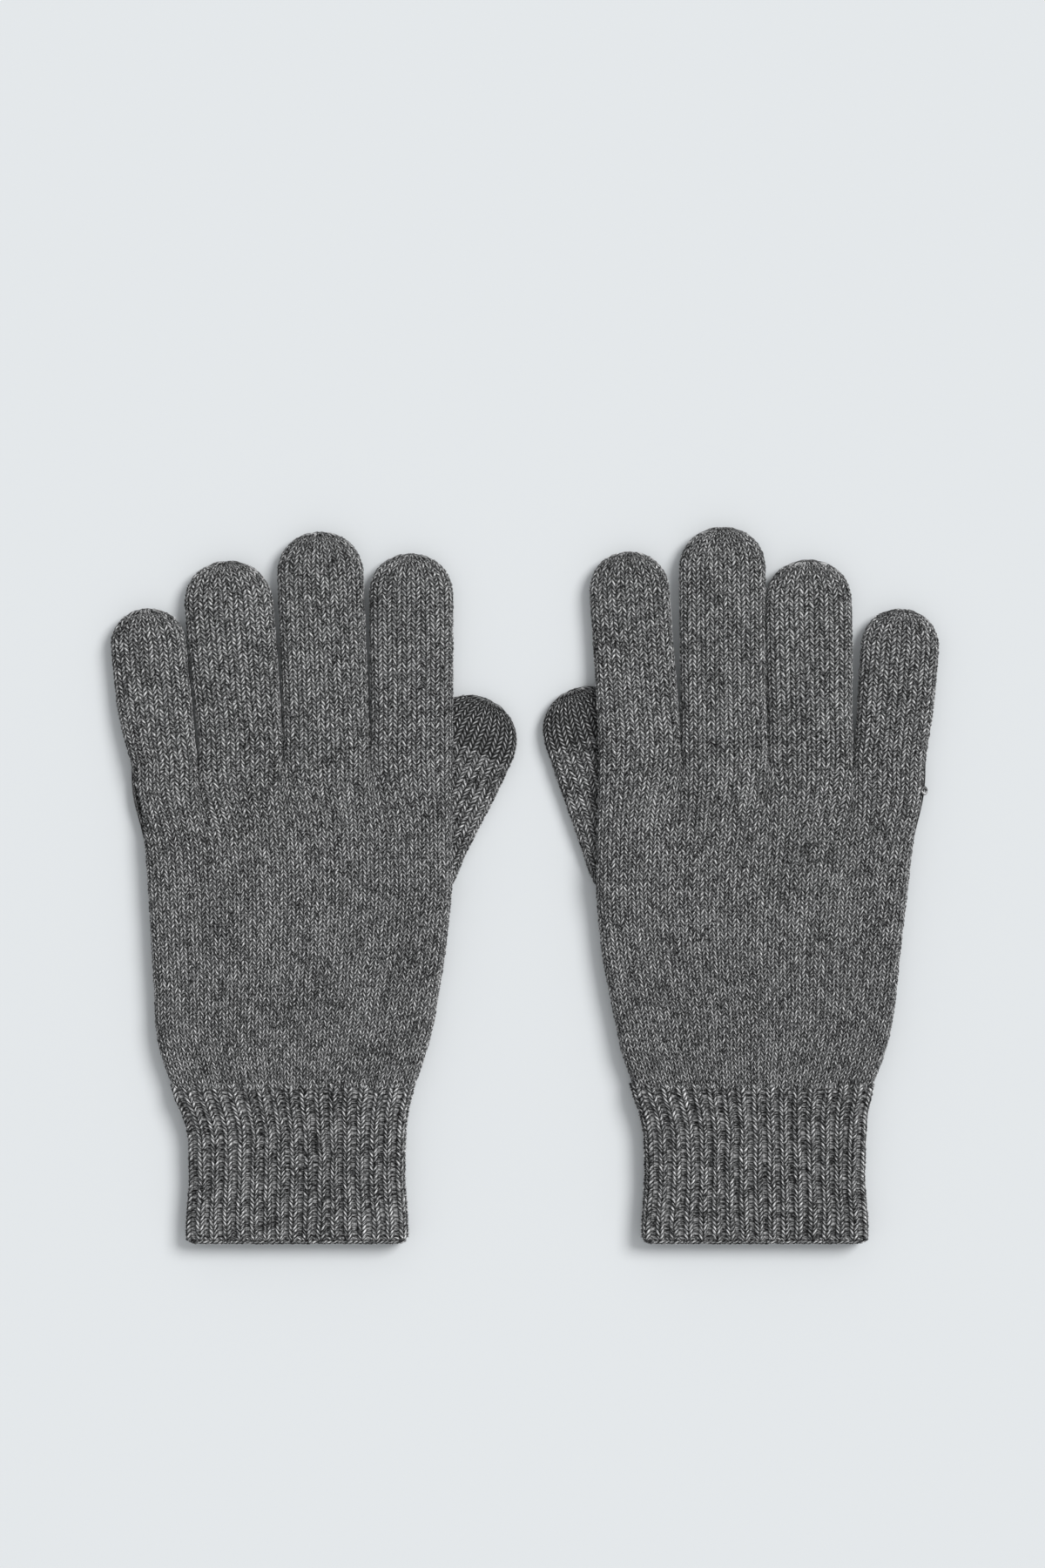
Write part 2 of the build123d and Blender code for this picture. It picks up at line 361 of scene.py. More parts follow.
def yarn_material(name, purl=0.0, glint=0.0, shade=1.0, mixed=1.0, gaps=1.0):
    """Heather yarn: each leg has its own tone, fibres of mixed greys run along it, and shade is painted into
    the gaps between the legs.
    """
    colours, sizes = bpy.context.scene.glove_yarn, bpy.context.scene.glove_knit
    material, maker = empty_material(name)
    counts = maker.node("ShaderNodeUVMap", {"uv_map": "knit"})
    split = maker.node("ShaderNodeSeparateXYZ", None, {0: counts.outputs[0]})
    wale, course = maker.number(split.outputs[0]), maker.number(split.outputs[1])
    stitch = Stitch(maker, wale, course, sizes.slant, purl)

    def noise(x, y, z, detail, roughness=0.5):
        made = maker.node(
            "ShaderNodeTexNoise",
            {"noise_dimensions": "3D"},
            {"Vector": maker.vector(x, y, z), "Scale": 1.0, "Detail": detail, "Roughness": roughness},
        )
        return maker.number(made.outputs["Fac"])

    which = maker.vector(stitch.leg, stitch.row, 0.0)
    own = maker.node("ShaderNodeTexWhiteNoise", {"noise_dimensions": "2D"}, {"Vector": which})
    own_tone = maker.number(own.outputs["Value"])
    fibres = noise(wale * 4.6, stitch.climb * 4.4, stitch.leg * 5.3, 1.0, 0.6)
    flecks = noise(wale * 4.4, course * 3.4, 4.0, 1.0)
    patches = noise(wale * 0.16, course * 0.09, 9.0, 2.0)
    tone = (own_tone - 0.5) * OWN_TONE + (fibres - 0.5) * FIBRES + (flecks - 0.5) * FLECKS
    tone = (tone + (patches - 0.5) * PATCHES) * mixed + 0.5
    ramp = maker.node("ShaderNodeValToRGB", None, {0: tone})
    stops = ((0.0, colours.dark), (0.5, colours.middle), (1.0, colours.light))
    for index, (at, colour) in enumerate(stops):
        stop = ramp.color_ramp.elements[index] if index < 2 else ramp.color_ramp.elements.new(at)
        stop.position = at
        stop.color = (*(channel * shade for channel in colour), 1.0)
    # Painted shade: the colour is darkened between the legs, between the wales and in the sunk purl valleys
    # of a rib, where shade falls; gaps sets how deep this painted shade is
    legs = stitch.round ** 1.3 * stitch.reach ** 0.8 * stitch.knit
    bars = (1.0 - stitch.knit) * stitch.round ** 0.5 * 0.5
    depth = legs + bars
    shadow = depth**gaps * 0.97 + 0.03
    painted_shade = maker.node("ShaderNodeCombineColor", None, {0: shadow, 1: shadow, 2: shadow})
    colour = maker.node(
        "ShaderNodeMix",
        {"data_type": "RGBA", "blend_type": "MULTIPLY"},
        {"Factor": 1.0, 6: ramp.outputs[0], 7: painted_shade.outputs[0]},
    )
    relief = {"Strength": 0.8, "Distance": 0.4 * MM, "Height": fibres * 0.8 + depth}
    bump = maker.node("ShaderNodeBump", None, relief)
    finish = {
        "Base Color": colour.outputs[2],
        "Roughness": 0.92 - fibres * 0.12,
        "Normal": bump.outputs[0],
        "Sheen Weight": 0.06,
        "Sheen Roughness": 0.6,
        "Specular IOR Level": 0.08,
    }
    if glint:
        thread = (flecks > 0.62) * (fibres > 0.52)
        finish["Metallic"] = thread * glint
        finish["Roughness"] = 0.92 - thread * 0.45
    shader = maker.node("ShaderNodeBsdfPrincipled", None, finish)
    maker.node("ShaderNodeOutputMaterial", None, {0: shader.outputs[0]})
    return material


def yarn(kind):
    """A yarn's material, made when it is first asked for."""
    made = bpy.data.materials.get(kind)
    if made:
        return made
    # gaps sets how deep the painted shade between the legs falls for each yarn
    looks = {
        "plain yarn": {},
        "rib yarn": {"purl": PURL_COLUMNS / RIB_COLUMNS, "shade": 1.16, "gaps": 1.25},
        "touch yarn": {"glint": 0.5},
        "thumb touch yarn": {"glint": 0.5, "shade": 1.08, "mixed": 0.6, "gaps": 2.1},
        "closing yarn": {"shade": 0.6},
    }
    return yarn_material(kind, **looks[kind])


# Forms


def ease(value):
    """A smooth step from 0 to 1."""
    share = np.clip(value, 0.0, 1.0)
    return share * share * (3.0 - 2.0 * share)


def rolled(distance, roll):
    """Share of the full height at a distance in from a rolled edge."""
    inside = np.clip(distance / roll, 0.0, 1.0)
    return np.sqrt(1.0 - (1.0 - inside) ** 2)


def spread(width, roll, columns):
    """Places of evenly spaced columns across a flattened tube, from -1 to 1."""
    quarter = roll * pi / 2
    flat = width - 2 * roll
    along = np.linspace(0.0, flat + 2 * quarter, columns + 1)
    first = roll * (1.0 - np.cos(np.clip(along, 0.0, quarter) / roll))
    level = np.clip(along - quarter, 0.0, flat)
    last = roll * np.sin(np.clip(along - quarter - flat, 0.0, quarter) / roll)
    return (first + level + last) / (width / 2) - 1.0


def leg_side(columns, per_wale=WALE_COLUMNS, knit_columns=WALE_COLUMNS):
    """For each column, how far it is from the middle of its wale, from 0 to 1."""
    place = np.minimum(np.arange(columns + 1) % per_wale / knit_columns, 1.0)
    return np.abs(place - 0.5) * 2.0


class Digit:
    """A finger or a thumb, read from its joint and its tip."""

    def __init__(self, glove, name, joint, tip, width, wales):
        pivot, axis = Vector(joint["pos_m"]), Vector(joint["axis"])
        way = Vector((-axis.y, axis.x, 0.0)).normalized()
        self.way = way if way.y > 0 else -way
        self.name = name
        self.pivot = pivot
        self.root = pivot - self.way * BAND / 2
        self.width = width
        self.wales = wales
        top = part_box(tip)[1].y
        round_end = (top - width / 2 - self.root.y) / self.way.y
        self.reach = round_end + width / 2
        self.glove = glove
        self.sway, longer, self.wider, self.pinch = (value * MM for value in LAY[glove.side][name])
        self.reach += longer

    def outer_pinch(self, place):
        """How far the root's outer side is drawn in, at a place across from -1 to 1."""
        out = -1.0 if self.name == "little" else 1.0
        return -out * self.pinch * np.clip(out * place, 0.0, 1.0)


class Glove:
    """The places of one glove's parts, read from the frame."""

    def __init__(self, side):
        self.side = side
        self.sign = SIDES[side]
        low, high = self.box("cuff_rib")
        self.middle = (low.x + high.x) / 2
        self.rib_start, self.wrist = low.y, high.y
        self.mouth = self.box("cuff_edge")[0].y
        self.thumb_line = self.box("hand_lower")[1].y
        self.little_line = self.box("hand_upper")[1].y
        self.root_line = self.box("hand_top")[1].y
        edges = sorted(self.sign * (corner.x - self.middle) for corner in self.box("hand_upper"))
        self.little_edge, self.thumb_edge = edges
        joints = {joint["name"]: joint for joint in frame["joints"]}
        self.fingers = {}
        for name in FINGERS:
            tip = f"{side}_index_touch_tip" if name == "index" else f"{side}_{name}_finger"
            joint = joints[f"{side}_{name}_bend"]
            self.fingers[name] = Digit(self, name, joint, tip, FINGER_WIDTH[name], FINGER_WALES[name])
        self.thumb = Digit(
            self, "thumb", joints[f"{side}_thumb_open"], f"{side}_thumb_touch_tip", THUMB_WIDTH, THUMB_WALES
        )
        pitch = bpy.context.scene.glove_knit.course
        self.courses = round((self.root_line - self.wrist) / pitch)
        self.pitch = (self.root_line - self.wrist) / self.courses
        self.little_course = round((self.little_line - self.wrist) / self.pitch)
        self.thumb_course = round((self.thumb_line - self.wrist) / self.pitch)

    def box(self, node):
        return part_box(f"{self.side}_{node}")

    def across(self, x):
        """The world's x of a place measured from the glove's middle towards its thumb."""
        return self.middle + self.sign * x

    def from_thumb(self, x, y):
        """Distance of places from the middle line of the tucked thumb."""
        thumb = self.thumb
        length = thumb.reach - thumb.width / 2
        over, up = x - thumb.root.x, y - thumb.root.y
        along = np.clip(over * thumb.way.x + up * thumb.way.y, 0.0, length)
        return np.hypot(over - along * thumb.way.x, up - along * thumb.way.y)

    def bottom(self, x, y):
        """Height of the underside: on the surface, or over the tucked thumb."""
        thumb_top = self.box("thumb")[1].z + 0.8 * MM
        near = 1.0 - (self.from_thumb(x, y) - self.thumb.width / 2 + 1.0 * MM) / THUMB_FALL
        return FLOOR_GAP + thumb_top * ease(near)

    def top(self, x, y):
        """Height of the upper side."""
        levels = [self.mouth, self.wrist, self.thumb_line, self.root_line, self.root_line + 15 * MM]
        rise = np.exp(-((self.from_thumb(x, y) / DOME_SPREAD) ** 2))
        return np.interp(y, levels, TOP_LEVELS) + bpy.context.scene.glove_knit.dome * rise


def smooth_line(at, points, blur=7.0 * MM):
    """A smooth line through a few points, given in millimetres, read at the given places."""
    places, values = np.array(points).T * MM
    fine = np.arange(places[0] - 3 * blur, places[-1] + 3 * blur, 0.5 * MM)
    straight = np.interp(fine, places, values)
    weights = np.exp(-((np.arange(-2 * blur, 2 * blur, 0.5 * MM) / (blur / 2)) ** 2))
    padded = np.pad(straight, len(weights), mode="edge")
    soft = np.convolve(padded, weights / weights.sum(), mode="same")[len(weights) : -len(weights)]
    return np.interp(at, fine, soft)


# Half widths of the hand, at heights above the wrist, in millimetres: the last value is
# that at the little finger's root
LITTLE_SIDE = {
    "left": (
        (-4, 38.6), (0, 40.5), (10.6, 44.3), (19.4, 45.8), (31, 45.9),
        (43, 46.5), (66, 47.5), (90, 48.8), (106, 52.2),
    ),
    "right": (
        (-4, 38.8), (0, 40.5), (10.6, 44.3), (19.4, 46.2), (31, 47.4),
        (43, 48.0), (66, 49.9), (90, 51.8), (108, 54.0),
    ),
}
THUMB_SIDE = {
    "left": (
        (-4, 39.0), (0, 41.2), (10.6, 44.9), (19.4, 47.6), (31, 49.6),
        (43, 51.9), (55, 53.4), (66, 54.8), (106, 55.1),
    ),
    "right": (
        (-4, 37.8), (0, 39.8), (10.6, 44.3), (19.4, 46.3), (31, 49.2),
        (43, 51.9), (55, 53.7), (66, 54.9), (108, 55.5),
    ),
}
# How each finger and thumb lies: millimetres that its tip lies towards +X of its middle line
# and beyond its reach, that it is wider on each side near its tip, and narrower outside at
# its root
LAY = {
    "left": {
        "index": (-1.0, 0.1, 0.4, 0),
        "middle": (-0.6, -0.6, 0.1, 0),
        "ring": (-1.3, 0.7, 0.8, 0),
        "little": (0, 0.3, 0.1, 3.1),
        "thumb": (1.0, -2.5, 1.2, 0),
    },
    "right": {
        "index": (-0.5, -1.2, -0.3, 0),
        "middle": (1.5, -0.9, 0.2, 0),
        "ring": (0.3, -1.0, 0.6, 0),
        "little": (-0.2, -1.9, 0.5, 1.2),
        "thumb": (0.7, -2.6, 0.4, 0),
    },
}


def wobble(count, course, seed):
    """Uneven knitting: a smooth disorder of about one, from counts of wales and courses."""
    chance = np.random.default_rng(seed)
    total = 0.0
    for _ in range(9):
        wales, courses = chance.normal(0.0, 1.5), chance.normal(0.0, 1.1)
        total = total + np.sin(wales * count + courses * course + chance.uniform(0.0, 2 * pi))
    return total / 3.0


def hand_edges(glove, y):
    """The hand's two edges at given heights, from its middle line to the thumb's side."""
    rise = y - glove.wrist
    lean = (glove.little_edge + glove.thumb_edge) / 2
    full = glove.little_line - glove.wrist
    shift = lean * np.clip(rise / full, 0.0, 1.2)
    little, thumb = LITTLE_SIDE[glove.side], THUMB_SIDE[glove.side]
    return shift - smooth_line(rise, little), shift + smooth_line(rise, thumb)


def hand_form(glove, first_course, last_course, from_little=True):
    """Front and back of the hand's sheet between two courses.

    Each is an array of rows and columns of points. The short section over three fingers
    leaves the little finger's columns out.
    """
    sizes = bpy.context.scene.glove_knit
    columns = HAND_WALES * WALE_COLUMNS
    side = leg_side(columns)
    course = np.arange(first_course * COURSE_ROWS, last_course * COURSE_ROWS + 1) / COURSE_ROWS
    y = glove.wrist + (course[:, None] + sizes.slant * side[None, :]) * glove.pitch
    little, thumb = hand_edges(glove, y)
    even = spread(HAND_WIDTH, sizes.roll, columns)[None, :]
    x = (little + thumb) / 2 + (thumb - little) / 2 * even
    count = np.arange(columns + 1) / WALE_COLUMNS
    starts, lobe, swell = {}, np.zeros(columns + 1), np.zeros(columns + 1)
    start = 0
    for name in FINGERS:
        finger = glove.fingers[name]
        end = start + finger.wales
        inside = (count >= start) & (count <= end)
        own = spread(finger.width + FINGER_GAP, sizes.roll, finger.wales * WALE_COLUMNS)
        middle = glove.sign * (finger.root.x - glove.middle)
        lobe[inside] = middle + own * (finger.width + FINGER_GAP) / 2 + finger.outer_pinch(own)
        swell[inside] = own**2
        starts[name] = start
        start = end
    places = [starts["ring"], starts["ring"] + 3]
    level = np.interp(count, places, [glove.little_line, glove.root_line])[None, :]
    drawn = ease((y - level) / GATHER + 1.0)
    x = x + (lobe[None, :] - x) * drawn
    share = rolled(x - little, sizes.roll) * rolled(thumb - x, sizes.roll)
    if not from_little:
        share = rolled(thumb - x, sizes.roll)
    for name in FINGERS[1:]:
        column = starts[name] * WALE_COLUMNS
        height = glove.little_line if name == "ring" else glove.root_line
        depth = ease((y - height) / FOLD + 1.0) ** 1.4
        distance = np.abs(x - x[:, column : column + 1])
        share = share * (1.0 - depth * (1.0 - rolled(distance, sizes.roll)))
    share = share * (1.0 - sizes.crown * swell[None, :] * drawn)
    ribs = count / HAND_WALES * CUFF_RIBS
    crest = 0.5 + 0.5 * np.cos(2 * pi * (ribs - (1.0 - PURL_COLUMNS / RIB_COLUMNS) / 2))
    fading = 1.0 - ease((y - glove.wrist) / RIB_FADE)
    sunk = (1.0 - crest[None, :]) * fading * sizes.rib_height * 0.9 - meeting(glove, y)
    share = share * (1.0 - sunk / (4.0 * MM))
    x = x + wobble(count[None, :], course[:, None], 3) * sizes.disorder * (1.0 - even**4)
    y = y + wobble(count[None, :], course[:, None], 4) * sizes.disorder * (1.0 - even**4)
    keep = slice(0 if from_little else starts["ring"] * WALE_COLUMNS, None)
    x, y, share = glove.across(x[:, keep]), y[:, keep], share[:, keep]
    return sheets(x, y, glove.top(x, y), glove.bottom(x, y), share) + (count[keep], course)


def meeting(glove, y):
    """How far the hand lies over the cuff, which changes sign at the wrist."""
    rise = y - glove.wrist
    return OVERLAP * np.clip(rise / (2 * MM), -2.0, 1.0) * (1.0 - ease((rise - 2 * MM) / (4 * MM)))


def sheets(x, y, top, bottom, share):
    """Front and back sheets of a tube, from the share of its height at each place."""
    middle = (top + bottom) / 2
    front = np.stack([x, y, middle + (top - middle) * share], axis=-1)
    fall = (middle - bottom) * np.minimum(share, 1.0) ** BACK_FULLNESS
    return front, np.stack([x, y, middle - fall], axis=-1)


def finger_form(digit, first_course=0, last_course=None, flat=None):
    """Front and back of a digit's sheet, from its root to its tip."""
    glove = digit.glove
    sizes = bpy.context.scene.glove_knit
    columns = digit.wales * WALE_COLUMNS
    side = leg_side(columns)
    rows = np.arange(first_course * COURSE_ROWS, (last_course or 10**6) * COURSE_ROWS + 1) / COURSE_ROWS
    rows = rows[rows * glove.pitch < digit.reach - 0.2 * MM]
    tip = last_course is None
    along = (rows[:, None] + sizes.slant * side[None, :]) * glove.pitch
    if tip:
        last = digit.reach - np.array(TIP_ROWS)
        room = (digit.reach - TIP_START - along) / TIP_EASE
        closer = digit.reach - TIP_START - TIP_EASE * np.exp(np.minimum(room, 1) - 1)
        along = np.where(room < 1, closer, along)
        along = np.vstack([along, np.repeat(last[:, None], columns + 1, axis=1)])
        rows = np.concatenate([rows, rows[-1] + np.arange(1, len(last) + 1) / COURSE_ROWS])
    slim = FINGER_GAP / 2 * (1.0 - ease(along / BAND))
    full = digit.width / 2 + slim + digit.wider * ease(along / digit.reach * 1.6)
    square = TIP_SQUARE
    past = np.clip(along - digit.reach + full, 0.0, None)
    foot = np.clip(-along, 0.0, None) if flat is not None else 0.0
    end = np.clip((past + foot) / full, 0.0, 1.0)
    half = full * (1.0 - end**square) ** (1.0 / square)
    own = spread(digit.width, sizes.roll, columns)[None, :]
    x = half * own
    distance = full - (np.abs(x) ** square + (past + foot) ** square) ** (1.0 / square)
    x = x + digit.outer_pinch(own) * np.exp(-((along / (14 * MM)) ** 2))
    lean = np.arctan2(digit.way.x, digit.way.y)
    turn = lean if flat is not None else lean * ease(along / (12 * MM))
    sway = along if flat is not None else along * ease(along / (8 * MM))
    bow = digit.sway * ease(along / digit.reach)
    world_x = digit.root.x + bow + np.sin(lean) * sway + glove.sign * x * np.cos(turn)
    world_y = digit.root.y + np.cos(lean) * along - glove.sign * x * np.sin(turn)
    count = np.arange(columns + 1) / WALE_COLUMNS
    if flat is not None:
        share = rolled(distance, flat / 2) * (1.0 - 0.1 * (x / digit.width * 2) ** 2)
        wales, courses = THUMB_COUNTS
        return sheets(world_x, world_y, FLOOR_GAP + flat, FLOOR_GAP, share) + (count + wales, rows + courses)
    share = rolled(distance, sizes.roll) * (1.0 - sizes.crown * (x / full) ** 2)
    before = FINGERS[: FINGERS.index(digit.name)]
    count = count + sum(FINGER_WALES[name] for name in before)
    rows = rows + (glove.little_course if digit.name == "little" else glove.courses)
    uneven = (1.0 - np.abs(own)) * (distance > 2 * MM) * sizes.disorder
    world_x = world_x + wobble(count[None, :], rows[:, None], 3) * uneven
    world_y = world_y + wobble(count[None, :], rows[:, None], 4) * uneven
    top, bottom = glove.top(world_x, world_y), glove.bottom(world_x, world_y)
    return sheets(world_x, world_y, top, bottom, share) + (count, rows)


# From forms to meshes


class Fabric:
    """Collects the points and faces of a tube with its lining.

    A mirrored tube is the right glove's, so its faces and outward ways are turned over.
    """

    def __init__(self, mirrored):
        self.points, self.faces, self.marks, self.counts, self.outward = [], [], [], [], []
        self.total = 0
        self.mirrored = mirrored

    def add_points(self, points, wale, course, relief, outward=None):
        first = self.total
        self.points.append(points)
        self.marks.append(np.stack([wale, course, np.full(len(points), relief)], axis=1))
        self.outward.append(np.zeros_like(points) if outward is None else outward)
        self.total += len(points)
        return first

    def add_face(self, corners, counts, turned=False):
        way = 1 if turned == self.mirrored else -1
        self.faces.append(corners[::way])
        self.counts.extend(counts[::way])

    def mesh(self, name):
        outward = np.concatenate(self.outward) * (-1.0 if self.mirrored else 1.0)
        marks = np.concatenate(self.marks)
        mesh = bpy.data.meshes.new(name)
        mesh.from_pydata(np.concatenate(self.points).tolist(), [], self.faces)
        for index, label in enumerate(("wale", "course", "relief")):
            layer = mesh.attributes.new(label, "FLOAT", "POINT")
            layer.data.foreach_set("value", np.ascontiguousarray(marks[:, index], dtype=np.float32))
        layer = mesh.attributes.new("outward", "FLOAT_VECTOR", "POINT")
        layer.data.foreach_set("vector", np.ascontiguousarray(outward, dtype=np.float32).ravel())
        layer = mesh.uv_layers.new(name="knit")
        layer.data.foreach_set("uv", np.array(self.counts, dtype=np.float32).ravel())
        return mesh


def normals(rings):
    """The outward direction at each point of a tube's rings."""
    round_it = np.roll(rings, -1, axis=1) - np.roll(rings, 1, axis=1)
    along = np.gradient(rings, axis=0)
    across = np.cross(round_it, along)
    return across / np.maximum(np.linalg.norm(across, axis=-1, keepdims=True), 1e-12)


def ring(front, back):
    """One closed ring of points per row, from the front and the back sheet."""
    return np.concatenate([front, back[:, -2:0:-1]], axis=1)


def lay_rings(fabric, rings, wale, course, relief, inward):
    """Adds rings of points and the faces between them, and returns their first points."""
    rows, columns = rings.shape[:2]
    wales, courses = np.tile(wale[:-1], rows), np.repeat(course, columns)
    first = fabric.add_points(rings.reshape(-1, 3), wales, courses, relief, normals(rings).reshape(-1, 3))
    for row in range(rows - 1):
        low, high = first + row * columns, first + (row + 1) * columns
        for column in range(columns):
            after = (column + 1) % columns
            corners = (low + column, low + after, high + after, high + column)
            here, there, now, then = wale[column], wale[column + 1], course[row], course[row + 1]
            counts = ((here, now), (there, now), (there, then), (here, then))
            fabric.add_face(corners, counts, inward)
    return first


def close_end(fabric, ring_points, start, wale, course, upward):
    """A fan that closes a ring at its middle."""
    columns = len(ring_points)
    middle = fabric.add_points(
        ring_points.mean(axis=0)[None, :], np.array([wale[0]]), np.array([course]), 0.0
    )
    for column in range(columns):
        corners = (start + column, start + (column + 1) % columns, middle)
        counts = ((wale[column], course), (wale[column + 1], course), (wale[column], course))
        fabric.add_face(corners, counts, not upward)


def close_rim(fabric, outer, inner, outer_columns, inner_columns, wale, course, upward):
    """Faces between the outer ring and the lining's ring at an open end."""
    step = outer_columns // inner_columns
    for column in range(inner_columns):
        outside = [outer + (column * step + k) % outer_columns for k in range(step + 1)]
        inside = [inner + (column + 1) % inner_columns, inner + column]
        corners = tuple(outside + inside)
        places = [column * step + k for k in range(step + 1)] + [(column + 1) * step, column * step]
        counts = tuple((wale[place], course) for place in places)
        fabric.add_face(corners, counts, not upward)


def lined(rings, step, wall):
    """The lining's rings: coarser, and one fabric's thickness inside the outer ones."""
    inner = rings[:, ::step].copy()
    middle = (inner.min(axis=1, keepdims=True) + inner.max(axis=1, keepdims=True)) / 2
    half = np.maximum((inner.max(axis=1, keepdims=True) - inner.min(axis=1, keepdims=True)) / 2, 0.1 * MM)
    shrink = np.clip(1.0 - wall / half, 0.25, 1.0)
    shrink[..., 1] = 1.0
    return middle + (inner - middle) * shrink


def tube_mesh(name, glove, front, back, count, course, open_start=True, open_end=True, step=WALE_COLUMNS):
    """A knitted tube with its lining, from its front and back sheets."""
    sizes = bpy.context.scene.glove_knit
    if glove.sign < 0:
        count = count + OTHER_GLOVE
    rings = ring(front, back)
    columns = rings.shape[1]
    unit = count[1] - count[0]
    wale = count[0] + np.arange(columns + 1) * unit
    fabric = Fabric(glove.sign < 0)
    outer = lay_rings(fabric, rings, wale, course, 1.0, False)
    rows = list(range(0, len(course) - 1, COURSE_ROWS)) + [len(course) - 1]
    inner_rings = lined(rings[rows], step, sizes.fabric)
    inner_wale = wale[::step]
    inner = lay_rings(fabric, inner_rings, inner_wale, course[rows], 0.0, True)
    inner_columns = inner_rings.shape[1]
    last_outer = outer + (len(course) - 1) * columns
    last_inner = inner + (len(rows) - 1) * inner_columns
    if open_start:
        close_rim(fabric, outer, inner, columns, inner_columns, wale, course[0], False)
    else:
        close_end(fabric, rings[0], outer, wale, course[0], False)
        close_end(fabric, inner_rings[0], inner, inner_wale, course[0], True)
    if open_end:
        close_rim(fabric, last_outer, last_inner, columns, inner_columns, wale, course[-1], True)
    else:
        close_end(fabric, rings[-1], last_outer, wale, course[-1], True)
        close_end(fabric, inner_rings[-1], last_inner, inner_wale, course[-1], False)
    return fabric.mesh(name)


# Pieces


def attach(piece, body, slot, *nodes, root=None):
    """Puts a piece in the place of the frame's nodes, and hides them. A digit's piece is baked in place and
    not parented to its body.
    """
    if root:
        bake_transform(piece)
    else:
        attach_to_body(piece, body)
    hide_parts(*nodes)


def knit_section(name, glove, form, kind, **ends):
    """One section of a glove, knitted from its form."""
    return knitted(name, tube_mesh(name, glove, *form, **ends), yarn(kind))


def knit_hand(glove):
    """The hand in three sections, from the wrist to the roots of the fingers."""
    under = 1  # courses that overlap the rib
    sections = (
        ("hand_lower", -under, glove.thumb_course, True),
        ("hand_upper", glove.thumb_course, glove.little_course, True),
        ("hand_top", glove.little_course, glove.courses, False),
    )
    for node, first, last, from_little in sections:
        form = hand_form(glove, first, last, from_little)
        piece = knit_section(f"{glove.side}_{node}_knit", glove, form, "plain yarn")
        attach(piece, f"{glove.side}_hand", "plain_knit", f"{glove.side}_{node}")


def knit_finger(digit):
    """A finger from its root to its tip. The index finger's tip is a piece of its own."""
    glove, body = digit.glove, f"{digit.glove.side}_{digit.name}"
    split = None
    if digit.name == "index":
        split = round((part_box(f"{body}_touch_tip")[0].y - digit.root.y) / glove.pitch)
    form = finger_form(digit, 0, split)
    piece = knit_section(f"{body}_knit", glove, form, "plain yarn", open_end=bool(split))
    attach(piece, body, "plain_knit", f"{body}_base", f"{body}_finger", root=digit)
    if split:
        tip = knit_section(f"{body}_tip_knit", glove, finger_form(digit, split), "touch yarn", open_end=False)
        attach(tip, body, "conductive_knit", f"{body}_touch_tip")


def knit_thumb(glove):
    """The thumb, tucked under the palm, and its touch tip."""
    thumb, body = glove.thumb, f"{glove.side}_thumb"
    flat = glove.box("thumb")[1].z
    foot = -int((thumb.width / 2 - 0.5 * MM) / glove.pitch)
    split = round((thumb.reach - TOUCH_LENGTH) / glove.pitch)
    form = finger_form(thumb, foot, split, flat)
    piece = knit_section(f"{body}_knit", glove, form, "plain yarn", open_start=False)
    attach(piece, body, "plain_knit", f"{body}_base", body, root=thumb)
    form = finger_form(thumb, split, None, flat)
    tip = knit_section(f"{body}_tip_knit", glove, form, "thumb touch yarn", open_end=False)
    attach(tip, body, "conductive_knit", f"{body}_touch_tip")


# Half widths of the cuff, at heights above its mouth, in millimetres, and for each glove
# how far the cuff lies towards +X and how much wider it is on each side
CUFF_SIDE = ((0, 38.0), (7, 38.0), (21, 36.9), (36, 37.3), (44, 38.2), (48.5, 39.6), (52.5, 41.4), (57, 43.2))
CUFF_LAY = {"left": (1.5, -1.2), "right": (0.9, -0.4)}


def cuff_line(glove, y):
    """Middle and half width of the cuff at given heights."""
    shift, wider = (value * MM for value in CUFF_LAY[glove.side])
    below = 1.0 - ease((y - glove.wrist) / (18 * MM) + 1.0)
    half = smooth_line(y - glove.mouth, CUFF_SIDE, 4 * MM)
    return glove.middle + shift * below, half + wider * below


def cuff_levels(glove, x, y, sunk):
    """Upper and lower side of the cuff."""
    rib_height = bpy.context.scene.glove_knit.rib_height
    return glove.top(x, y) - sunk, FLOOR_GAP + np.maximum(sunk, rib_height)


def knit_cuff(glove):
    """The ribbed cuff, whose ribs run on into the hand."""
    sizes = bpy.context.scene.glove_knit
    purl = PURL_COLUMNS / RIB_COLUMNS
    columns = CUFF_RIBS * RIB_COLUMNS
    side = leg_side(columns, RIB_COLUMNS, WALE_COLUMNS)
    courses = round((glove.wrist + 2 * MM - glove.rib_start) / sizes.course)
    course = np.arange(courses * COURSE_ROWS + 1) / COURSE_ROWS
    y = glove.rib_start - 1.5 * MM + (course[:, None] + sizes.slant * side[None, :]) * sizes.course
    centre, half = cuff_line(glove, y)
    sunk = sizes.rib_height + meeting(glove, y)
    half = half - sunk
    even = spread(CUFF_WIDTH, sizes.roll, columns)[None, :]
    x = half * even
    share = rolled(half - np.abs(x), sizes.roll)
    ribs = np.arange(columns + 1)[None, :] / RIB_COLUMNS
    x = x + wobble(ribs * 0.5, course[:, None] * 0.12, 5) * 0.35 * MM * (1.0 - even**4)
    x = x + wobble(ribs * 2, course[:, None], 3) * sizes.disorder * (1.0 - even**4)
    x = centre + glove.sign * x
    front, back = sheets(x, y, *cuff_levels(glove, x, y, sunk), share)
    count = np.arange(columns + 1) / RIB_COLUMNS
    name = f"{glove.side}_cuff_knit"
    mesh = tube_mesh(name, glove, front, back, count, course, step=RIB_COLUMNS)
    piece = knitted(name, mesh, yarn("rib yarn"), purl, sizes.rib_height)
    attach(piece, f"{glove.side}_hand", "rib_knit", f"{glove.side}_cuff_rib")


